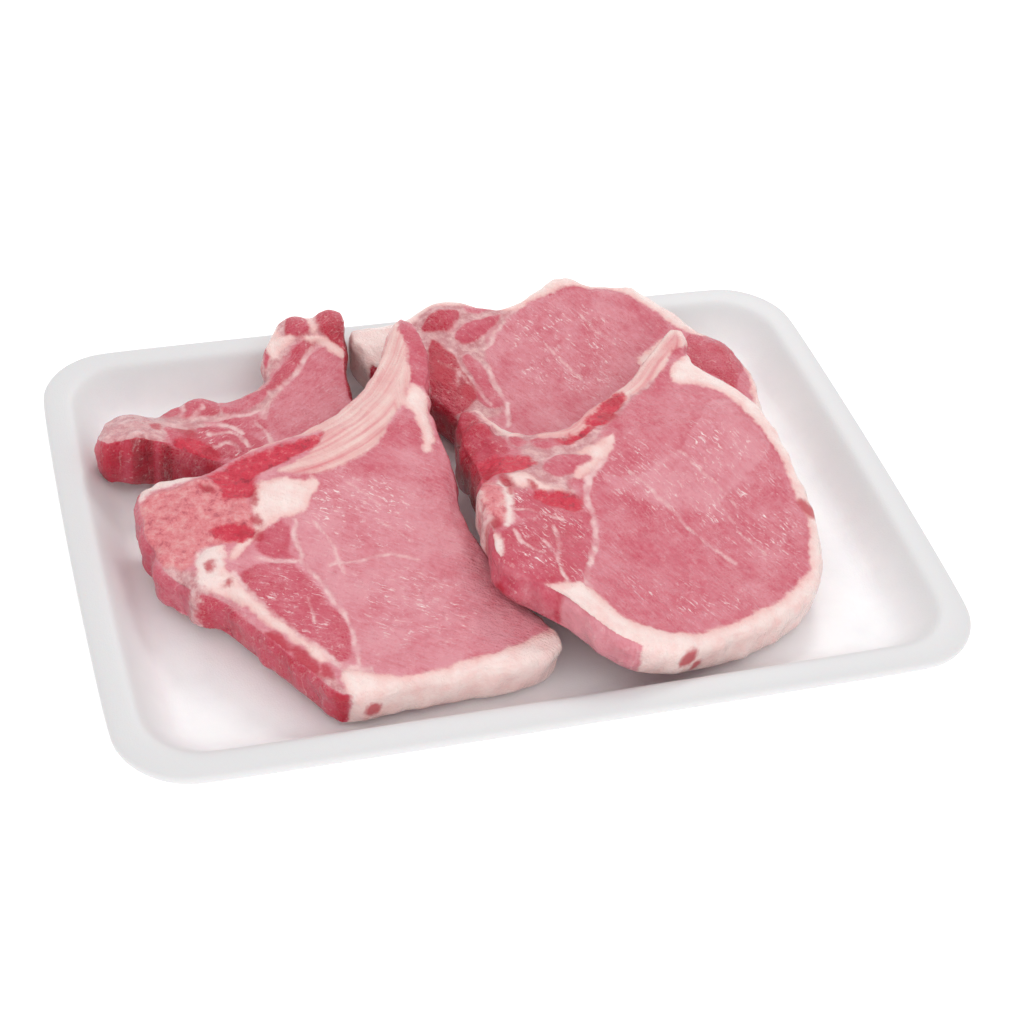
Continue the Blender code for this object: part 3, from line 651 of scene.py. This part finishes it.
def readWall(spots, design):
    wall = design["wall"]
    tissues = readTissues(spots, design)
    tissues["redness"] = np.maximum(tissues["redness"], wall["redness"])
    for level, loop in wall["muscles"]:
        reach = reachInto(spots, loop)
        tissues["redness"] += (level - tissues["redness"]) * eased(reach, -0.8, 0.8)
        for kind in tissueKinds:
            tissues[kind] = np.minimum(tissues[kind], -reach)
    for loop in wall.get("blood", ()):
        tissues["blood"] = np.maximum(tissues["blood"], reachInto(spots, loop))
    tissues["seam"] = np.minimum(tissues["seam"], -1.0)
    return tissues


def makeChop(design, material):
    piece = copyOfNodes(design["name"], design["nodes"])
    finishWith(piece, "DISPLACE", strength=relief["seamGap"] * mm, mid_level=0.0)
    finishWith(piece, "REMESH", mode="VOXEL", voxel_size=relief["voxel"] * mm, use_smooth_shade=True)
    finishWith(piece, "DISPLACE", strength=-relief["seamGap"] * mm, mid_level=0.0)
    finishWith(piece, "SMOOTH", factor=0.5, iterations=relief["softening"])

    places, normals = readPoints(piece)
    spots = places[:, :2]
    outline = smoothLine(design["outline"], True)
    edgeDistance, rimSpots = nearestOn(spots, outline)
    sideways = eased(-np.abs(normals[:, 2]), *relief["sideTurn"]) * eased(-edgeDistance, *relief["sideReach"])
    inwards = spots.mean(0) - rimSpots
    inwards /= np.linalg.norm(inwards, axis=1)[:, None]
    top = readTissues(strayed(spots, design["seed"]), design)
    wall = readWall(strayed(rimSpots + 1.0 * inwards, design["seed"]), design)
    maps = {kind: top[kind] * (1 - sideways) + wall[kind] * sideways for kind in top}

    for x, y, z, radius in design.get("stains", ()):
        reach = radius - np.linalg.norm(places - (x, y, z), axis=1)
        maps["blood"] = np.maximum(maps["blood"], reach)

    seed = design["seed"]
    lean = 1.0 - np.clip(eased(maps["fat"], -0.5, 0.8) + eased(maps["rib"], -0.5, 0.8), 0.0, 1.0)
    marrow = eased(maps["marrow"], -0.3, 0.8)
    lift = waves("swell", places, seed)
    lift += waves("ripple", places, seed + 10) * (0.4 + 0.6 * lean + sideways)
    lift += waves("fibre", places, seed + 20) * (0.3 + lean)
    lift += relief["fatProud"] * eased(maps["fat"], -0.4, 1.4)
    lift += relief["crown"] * maps["crown"] * (1 - sideways)
    lift -= relief["seamDepth"] * eased(maps["seam"], -0.8, 0.6)
    hard = np.maximum(maps["bone"], maps["rib"])
    lift += relief["boneProud"] * eased(hard, -0.5, 2.0) * (1 - sideways)
    lift += marrow * (waves("marrowCrumb", places, seed + 30) - relief["marrowSunk"])
    lift += sideways * waves("wallWave", places * (1, 1, 0.6), seed + 40)
    for x, y, radius, depth in design["dips"]:
        lift -= depth * hump(spots, x, y, radius) * (1 - sideways)
    for x, y, radius, height in design["bulges"]:
        lift += height * hump(spots, x, y, radius)
    lift *= eased(normals[:, 2], *relief["underTurn"])
    places = places + normals * lift[:, None]
    for x, y, radius, drop, high, low in design.get("hangs", ()):
        share = np.clip((high - places[:, 2]) / (high - low), 0.0, 1.0)
        places[:, 2] -= drop * hump(spots, x, y, radius) * share
    writePoints(piece, places)

    for kind in tissueKinds + ("redness", "seam", "crown", "fibreGlintPatches"):
        storeMap(piece, kind, maps[kind])
    storeMap(piece, "side", sideways)
    storeMap(piece, "inset", -edgeDistance)
    turn = math.radians(design["grain"])
    along = spots @ np.array([math.cos(turn), math.sin(turn)])
    across = spots @ np.array([-math.sin(turn), math.cos(turn)])
    storeMap(piece, "alongGrain", along)
    storeMap(piece, "acrossGrain", across)
    piece.data.materials.append(material)
    pickOnly(piece)
    bpy.ops.object.shade_smooth()
    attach(piece, "root")
    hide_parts(*design["nodes"])
    print(design["name"], "made:", len(piece.data.vertices), "points")


# raw pork, cut across the loin by a saw: moist lean with a fine cell of fibres, waxy fat and sawn bone;
# to the eye it is a cool, pale pink with a wet film over it
pork = {
    "leanPale": "#df909b",
    "leanMiddle": "#ca4b61",
    "leanDeep": "#bd1a38",
    # the deepest red: dark muscle, also used as painted shade on shadowed walls and in the gaps between chops
    "leanDarkAndShade": "#960420",
    "gristleGrey": "#c98589",
    "gristlePale": "#ecc4c3",
    # pale threads along the grain: partly fibres, partly painted wet glints
    "fleck": "#f0c8c8",
    "fibreGlintPale": "#fbe6e6",
    "fatPale": "#fae3de",
    "fatPink": "#f0bcb8",
    "bonePale": "#f3d4cd",
    "bonePink": "#e0858a",
    "cartilage": "#f5dcd8",
    "marrow": "#d22c46",
    "marrowDark": "#a02036",
    "marrowGlintPale": "#ec8f94",
    "blood": "#bd1c36",
    "seam": "#f4cfce",
    "crumbPink": "#df7c83",
    "crumbPale": "#eebdb8",
    "crumbRed": "#bd4f5c",
    "cell": 1.1,          # mm, a bundle of fibres cut across; the sizes below are in mm too
    "streak": 0.55,
    "ribStreak": 26.0,
    "drift": 2.0,
    "wander": 3.5,
    "clouds": {           # soft patches: size, detail, roughness
        "blotch": (11.0, 5.0, 0.5),
        "mottle": (2.4, 4.0, 0.6),
        "patch": (13.0, 3.0, 0.5),
        "fleck": (2.2, 5.0, 0.75),
        "fibreGlintCluster": (8.0, 4.0, 0.7),
        "broken": (5.0, 2.0, 0.5),
        "skin": (3.5, 5.0, 0.7),
        "wax": (6.0, 5.0, 0.6),
        "crumb": (3.0, 6.0, 0.75),
        "film": (7.0, 3.0, 0.5),
        "fray": (2.6, 5.0, 0.62),
        "grit": (1.0, 4.0, 0.65),
    },
}


def makePorkMaterial():
    material, tree, shader = newMaterial(
        "rawPork", Subsurface_Weight=0.15, Subsurface_Scale=2.5 * mm, Coat_Weight=0.8, Coat_Roughness=0.13,
        Coat_IOR=1.45, IOR=1.42, Specular_IOR_Level=0.15)
    shader.inputs["Subsurface Radius"].default_value = (1.0, 0.36, 0.28)
    here = addNode(tree, "TexCoord", {}, "Object")
    reach = {kind: addNode(tree, "Attribute", {}, "Fac", attribute_name=kind)
             for kind in tissueKinds + ("redness", "seam", "crown", "side", "inset", "fibreGlintPatches",
                                        "alongGrain", "acrossGrain")}
    colours = {key: toLinear(value) for key, value in pork.items() if isinstance(value, str)}
    cloud = {name: addNode(tree, "TexNoise", {"Vector": here, "Scale": perSize(size), "Detail": detail,
                                              "Roughness": roughness}, "Fac")
             for name, (size, detail, roughness) in pork["clouds"].items()}

    # ragged borders between the tissues
    frayed = {}
    for kind, spread, low, high in (
            ("fat", 3.0, -0.7, 0.9), ("gristle", 5.0, -1.4, 1.6), ("rib", 3.0, -0.8, 0.8),
            ("bone", 4.0, -1.0, 1.0), ("marrow", 4.0, -0.9, 0.9), ("cartilage", 4.5, -1.2, 1.3),
            ("blood", 3.0, -1.0, 1.1), ("seam", 1.6, -0.7, 0.6)):
        pushed = addNode(tree, "Math", {0: cloud["fray"], 1: -0.5})
        pushed = addNode(tree, "Math", {0: pushed, 1: spread, 2: reach[kind]}, operation="MULTIPLY_ADD")
        frayed[kind] = addNode(tree, "MapRange", {"Value": pushed, "From Min": low, "From Max": high},
                               interpolation_type="SMOOTHSTEP")

    # lean: blotches, cells of fibres and streaks that follow the grain, with pale threads along the grain that
    # are partly pale fibres and partly painted wet glints
    drift = addNode(tree, "TexNoise", {"Vector": here, "Scale": perSize(pork["drift"]), "Detail": 1.0}, "Color")
    drift = addNode(tree, "VectorMath", {0: drift, 1: (0.8 * mm,) * 3, 2: here}, operation="MULTIPLY_ADD")
    cell = addNode(tree, "TexVoronoi", {"Vector": drift, "Scale": perSize(pork["cell"])},
                   "Distance", feature="DISTANCE_TO_EDGE")
    netting = addNode(tree, "MapRange", {"Value": cell, "From Max": 0.25, "To Min": 1.0, "To Max": 0.0})
    grainPlace = addNode(tree, "CombineXYZ", {"X": reach["alongGrain"], "Y": reach["acrossGrain"]})
    grainPlace = addNode(tree, "VectorMath", {0: grainPlace, 1: (0.2, 1.0 / pork["streak"] * 0.5, 1.0)},
                         operation="MULTIPLY")
    streak = addNode(tree, "TexNoise", {"Vector": grainPlace, "Scale": 1.0, "Detail": 4.0, "Roughness": 0.6},
                     "Fac")
    redness = reach["redness"]
    for pattern, share in ((cloud["blotch"], 0.8), (cloud["mottle"], -0.5), (streak, -0.5)):
        redness = addNode(tree, "Math", {0: pattern, 1: share, 2: redness}, operation="MULTIPLY_ADD")
        redness = addNode(tree, "Math", {0: redness, 1: -share / 2})
    lean = colours["leanPale"]
    for shade, start, end in (("leanMiddle", 0.0, 0.5), ("leanDeep", 0.5, 0.85), ("leanDarkAndShade", 0.85, 1.3)):
        share = addNode(tree, "MapRange", {"Value": redness, "From Min": start, "From Max": end})
        lean = addNode(tree, "Mix", {0: share, 6: lean, 7: colours[shade]}, 2, data_type="RGBA")
    patchy = addNode(tree, "MapRange", {"Value": cloud["patch"], "From Min": 0.4, "From Max": 0.7,
                                        "To Min": 0.02, "To Max": 0.14})
    netting = addNode(tree, "Math", {0: netting, 1: patchy}, operation="MULTIPLY")
    fleck = addNode(tree, "MapRange", {"Value": cloud["fleck"], "From Min": 0.58, "From Max": 0.7})
    fleckShare = addNode(tree, "MapRange", {"Value": reach["redness"], "From Min": 0.2, "From Max": 0.5,
                                            "To Min": 0.12, "To Max": 0.5})
    fleck = addNode(tree, "Math", {0: fleck, 1: fleckShare}, operation="MULTIPLY")
    wander = addNode(tree, "TexNoise", {"Vector": here, "Scale": perSize(pork["wander"]), "Detail": 3.0},
                     "Color")
    # painted highlight: pale threads along the grain, most in the listed patches, stand in for wet glints as
    # well as pale fibres
    fibreGlintPlace = addNode(tree, "VectorMath", {0: grainPlace, 1: (1.9, 1.5, 1.0)}, operation="MULTIPLY")
    fibreGlintPlace = addNode(tree, "VectorMath", {0: wander, 1: (3.0, 3.0, 0.0), 2: fibreGlintPlace},
                        operation="MULTIPLY_ADD")
    fibreGlint = addNode(tree, "TexNoise", {"Vector": fibreGlintPlace, "Scale": 1.0, "Detail": 4.0, "Roughness": 0.6}, "Fac")
    fibreGlint = addNode(tree, "MapRange", {"Value": fibreGlint, "From Min": 0.55, "From Max": 0.65})
    fibreGlintCluster = addNode(tree, "MapRange", {"Value": cloud["fibreGlintCluster"], "From Min": 0.42, "From Max": 0.6})
    fibreGlintShare = addNode(tree, "Math", {0: reach["fibreGlintPatches"], 1: 0.8, 2: 0.2}, operation="MULTIPLY_ADD")
    fibreGlintShare = addNode(tree, "Math", {0: fibreGlintShare, 1: fibreGlintCluster}, operation="MULTIPLY")
    fibreGlint = addNode(tree, "Math", {0: fibreGlint, 1: fibreGlintShare}, operation="MULTIPLY")
    broken = addNode(tree, "MapRange", {"Value": cloud["broken"], "From Min": 0.35, "From Max": 0.6,
                                        "To Min": 0.25, "To Max": 0.9})
    seamShare = addNode(tree, "Math", {0: frayed["seam"], 1: broken}, operation="MULTIPLY")
    for share, shade in ((netting, "fleck"), (fleck, "fleck"), (fibreGlint, "fibreGlintPale"), (seamShare, "seam")):
        lean = addNode(tree, "Mix", {0: share, 6: lean, 7: colours[shade]}, 2, data_type="RGBA")

    # gristle and thin skins between the muscles: grey pink
    skin = addNode(tree, "MapRange", {"Value": cloud["skin"], "From Min": 0.42, "From Max": 0.66})
    gristle = addNode(tree, "Mix", {0: skin, 6: colours["gristleGrey"], 7: colours["gristlePale"]}, 2,
                      data_type="RGBA")
    gristleShare = addNode(tree, "MapRange", {"Value": reach["crown"], "From Min": 0.05, "From Max": 0.35,
                                              "To Min": 0.92, "To Max": 0.0})
    gristleShare = addNode(tree, "Math", {0: frayed["gristle"], 1: gristleShare}, operation="MULTIPLY")

    # fat: waxy, pinker where it is thin or on the side
    wax = addNode(tree, "MapRange", {"Value": cloud["wax"], "From Min": 0.4, "From Max": 0.7, "To Max": 0.6})
    thin = addNode(tree, "MapRange", {"Value": reach["fat"], "From Max": 3.0, "To Min": 0.7, "To Max": 0.0})
    above = addNode(tree, "Math", {0: 1.0, 1: reach["side"]}, operation="SUBTRACT")
    thin = addNode(tree, "Math", {0: thin, 1: above}, operation="MULTIPLY")
    sidePink = addNode(tree, "Math", {0: reach["side"], 1: 0.05, 2: wax}, operation="MULTIPLY_ADD")
    sidePink = addNode(tree, "Math", {0: sidePink, 1: thin}, use_clamp=True)
    fat = addNode(tree, "Mix", {0: sidePink, 6: colours["fatPale"], 7: colours["fatPink"]}, 2, data_type="RGBA")

    # rib: pale, with pink streaks that run beside its edges
    split = tree.nodes.new("ShaderNodeSeparateXYZ")
    tree.links.new(here, split.inputs[0])
    ribLength = addNode(tree, "Math", {0: split.outputs[0], 1: perSize(pork["ribStreak"])}, operation="MULTIPLY")
    ribPlace = addNode(tree, "CombineXYZ", {"X": reach["inset"], "Y": ribLength})
    rib = addNode(tree, "TexNoise", {"Vector": ribPlace, "Scale": 0.55, "Detail": 3.0, "Roughness": 0.55}, "Fac")
    rib = addNode(tree, "MapRange", {"Value": rib, "From Min": 0.38, "From Max": 0.8})
    rib = addNode(tree, "Math", {0: cloud["blotch"], 1: 0.9, 2: rib}, operation="MULTIPLY_ADD")
    rib = addNode(tree, "Math", {0: rib, 1: -0.28}, use_clamp=True)
    rib = addNode(tree, "Mix", {0: rib, 6: colours["bonePale"], 7: colours["bonePink"]}, 2, data_type="RGBA")

    # sawn bone: a crumb of pink and pale with red pores
    paleShare = addNode(tree, "MapRange", {"Value": cloud["crumb"], "From Min": 0.48, "From Max": 0.76})
    redShare = addNode(tree, "MapRange", {"Value": cloud["crumb"], "From Min": 0.46, "From Max": 0.34})
    sawn = addNode(tree, "Mix", {0: paleShare, 6: colours["crumbPink"], 7: colours["crumbPale"]}, 2,
                   data_type="RGBA")
    sawn = addNode(tree, "Mix", {0: redShare, 6: sawn, 7: colours["crumbRed"]}, 2, data_type="RGBA")

    # marrow: wet red crumbs with dark pores, and a painted glint of pale on the highest crumbs
    pore = addNode(tree, "MapRange", {"Value": cloud["crumb"], "From Min": 0.47, "From Max": 0.32})
    glint = addNode(tree, "MapRange", {"Value": cloud["crumb"], "From Min": 0.56, "From Max": 0.72,
                                       "To Max": 0.8})
    marrow = addNode(tree, "Mix", {0: pore, 6: colours["marrow"], 7: colours["marrowDark"]}, 2, data_type="RGBA")
    marrow = addNode(tree, "Mix", {0: glint, 6: marrow, 7: colours["marrowGlintPale"]}, 2, data_type="RGBA")
    bloodShare = addNode(tree, "Math", {0: frayed["blood"], 1: 0.85}, operation="MULTIPLY")

    # each tissue lies over the ones before it
    colour = lean
    for share, tissue in ((gristleShare, gristle), (frayed["fat"], fat), (frayed["rib"], rib),
                          (frayed["bone"], sawn), (frayed["cartilage"], colours["cartilage"]),
                          (frayed["marrow"], marrow), (bloodShare, colours["blood"])):
        colour = addNode(tree, "Mix", {0: share, 6: colour, 7: tissue}, 2, data_type="RGBA")
    tree.links.new(colour, shader.inputs["Base Color"])

    # wet film: smoother in some patches than in others
    film = addNode(tree, "MapRange", {"Value": cloud["film"], "From Min": 0.35, "From Max": 0.65,
                                      "To Min": 0.25, "To Max": 0.5})
    tree.links.new(film, shader.inputs["Roughness"])

    # fine relief, too small for the mesh
    height = addNode(tree, "Math", {0: streak, 1: 1.4, 2: cloud["grit"]}, operation="MULTIPLY_ADD")
    height = addNode(tree, "Math", {0: cell, 1: 0.6, 2: height}, operation="MULTIPLY_ADD")
    bump = addNode(tree, "Bump", {"Strength": 0.85, "Distance": 0.45 * mm, "Height": height})
    tree.links.new(bump, shader.inputs["Normal"])
    tree.links.new(bump, shader.inputs["Coat Normal"])
    return material


# expanded polystyrene foam, pressed hot in a mould: bright white, satin skin, faint closed cells
foam = {
    "white": "#f9f8f9",
    "shade": "#f2f1f3",
    # painted shade: the wall and rim get a greyer white than the floor, so they read darker
    "paintedRimShade": "#dcdbdc",     # a greyer white, blended in from low on the wall up to the rim
    "paintedShadeFrom": 5.0,       # mm above the table
    "paintedShadeTo": 15.0,
    "cell": 0.9,
    "mottle": 14.0,
    "grit": 2.5,
    "floorHeight": 3.5,
    "floorInset": 5.0,
    "flatWithin": 0.05,
    "smoothing": 2,
}


def makeFoamMaterial():
    material, tree, shader = newMaterial(
        "pressedPolystyreneFoam", Roughness=0.46, IOR=1.48, Subsurface_Weight=0.08, Subsurface_Scale=3.0 * mm)
    here = addNode(tree, "TexCoord", {}, "Object")
    mottle = addNode(tree, "TexNoise", {"Vector": here, "Scale": perSize(foam["mottle"]), "Detail": 4.0}, "Fac")
    mottle = addNode(tree, "MapRange", {"Value": mottle, "From Min": 0.35, "From Max": 0.7})
    cells = addNode(tree, "TexVoronoi", {"Vector": here, "Scale": perSize(foam["cell"])},
                    "Distance", feature="DISTANCE_TO_EDGE")
    cells = addNode(tree, "MapRange", {"Value": cells, "From Max": 0.25})
    colour = addNode(tree, "Mix", {0: mottle, 6: toLinear(foam["white"]), 7: toLinear(foam["shade"])}, 2,
                     data_type="RGBA")
    split = tree.nodes.new("ShaderNodeSeparateXYZ")
    tree.links.new(here, split.inputs[0])
    # painted shade: the foam greys from low on the wall up to the rim, and the floor stays whiter
    paintedRimShade = addNode(tree, "MapRange", {"Value": split.outputs[2], "From Min": foam["paintedShadeFrom"] * mm,
                                      "From Max": foam["paintedShadeTo"] * mm})
    colour = addNode(tree, "Mix", {0: paintedRimShade, 6: colour, 7: toLinear(foam["paintedRimShade"])}, 2, data_type="RGBA")
    tree.links.new(colour, shader.inputs["Base Color"])
    grit = addNode(tree, "TexNoise", {"Vector": here, "Scale": perSize(foam["grit"]), "Detail": 4.0}, "Fac")
    height = addNode(tree, "Math", {0: cells, 1: 0.4, 2: grit}, operation="MULTIPLY_ADD")
    bump = addNode(tree, "Bump", {"Strength": 0.25, "Distance": 0.2 * mm, "Height": height})
    tree.links.new(bump, shader.inputs["Normal"])
    return material


def makeTray(material):
    piece = copyOfNodes("foam_tray", ["tray"])
    pickOnly(piece)
    bpy.ops.object.mode_set(mode="EDIT")
    for height in (foam["floorHeight"], 0.0):   # the flat floor, then the flat base
        bpy.ops.mesh.select_all(action="DESELECT")
        bpy.ops.object.mode_set(mode="OBJECT")
        for face in piece.data.polygons:
            heights = [piece.data.vertices[corner].co.z / mm for corner in face.vertices]
            face.select = all(abs(z - height) < foam["flatWithin"] for z in heights)
        bpy.ops.object.mode_set(mode="EDIT")
        bpy.ops.mesh.dissolve_faces()
        bpy.ops.mesh.inset(thickness=foam["floorInset"] * mm)
    bpy.ops.mesh.select_all(action="SELECT")
    bpy.ops.mesh.tris_convert_to_quads(face_threshold=math.radians(60), shape_threshold=math.radians(80))
    bpy.ops.object.mode_set(mode="OBJECT")
    finishWith(piece, "SUBSURF", levels=foam["smoothing"], render_levels=foam["smoothing"])
    piece.data.materials.append(material)
    pickOnly(piece)
    bpy.ops.object.shade_smooth()
    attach(piece, "root")
    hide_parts("tray")
    print("foam tray made:", len(piece.data.polygons), "faces")


# a white table and soft studio light from all round
studio = {
    "floorSize": 30.0,
    "floorDrop": 0.0002,
    "floor": "#fdfdfd",
    "floorGlow": 0.22,
    "world": 0.83,
    "camera": (-0.17485, -0.49074, 0.47309),
    "cameraTurn": (48.237, -4.790, -16.068),
    "lens": 75.77,
    "lights": (           # place, size, watts
        ((0.60, -0.60, 1.20), 0.8, 1.0),
        ((-0.60, 0.20, 1.40), 0.9, 0.8),
        ((-0.10, -1.10, 0.50), 0.8, 2.6),
        ((0.50, 1.00, 1.00), 0.36, 4.2),
    ),
}


def makeStudio():
    deselectAll()
    bpy.ops.mesh.primitive_plane_add(size=studio["floorSize"], location=(0.0, 0.0, -studio["floorDrop"]))
    floor = bpy.context.active_object
    floor.name = "studio_floor"
    material = newMaterial(
        "mattePaper", Base_Color=toLinear(studio["floor"]), Roughness=0.9,
        Emission_Color=toLinear(studio["floor"]), Emission_Strength=studio["floorGlow"])[0]
    floor.data.materials.append(material)
    world = bpy.data.worlds.new("softStudio")
    bpy.context.scene.world = world
    world.use_nodes = True
    world.node_tree.nodes["Background"].inputs["Color"].default_value = (1.0, 1.0, 1.0, 1.0)
    world.node_tree.nodes["Background"].inputs["Strength"].default_value = studio["world"]
    for number, (place, size, watts) in enumerate(studio["lights"]):
        deselectAll()
        bpy.ops.object.light_add(type="AREA", location=place)
        light = bpy.context.active_object
        light.name = "softbox_%d" % number
        light.data.size = size
        light.data.energy = watts
        light.rotation_euler = (-Vector(place)).to_track_quat("-Z", "Y").to_euler()
    deselectAll()
    bpy.ops.object.camera_add(location=studio["camera"],
                              rotation=[math.radians(angle) for angle in studio["cameraTurn"]])
    camera = bpy.context.active_object
    camera.data.lens = studio["lens"]
    bpy.context.scene.camera = camera
    bpy.context.scene.view_settings.view_transform = "Standard"
    print("studio made")


makeStudio()
makeTray(makeFoamMaterial())
porkMaterial = makePorkMaterial()
for chopDesign in (backLeft, backRight, frontLeft, frontRight):
    makeChop(chopDesign, porkMaterial)

deselectAll()
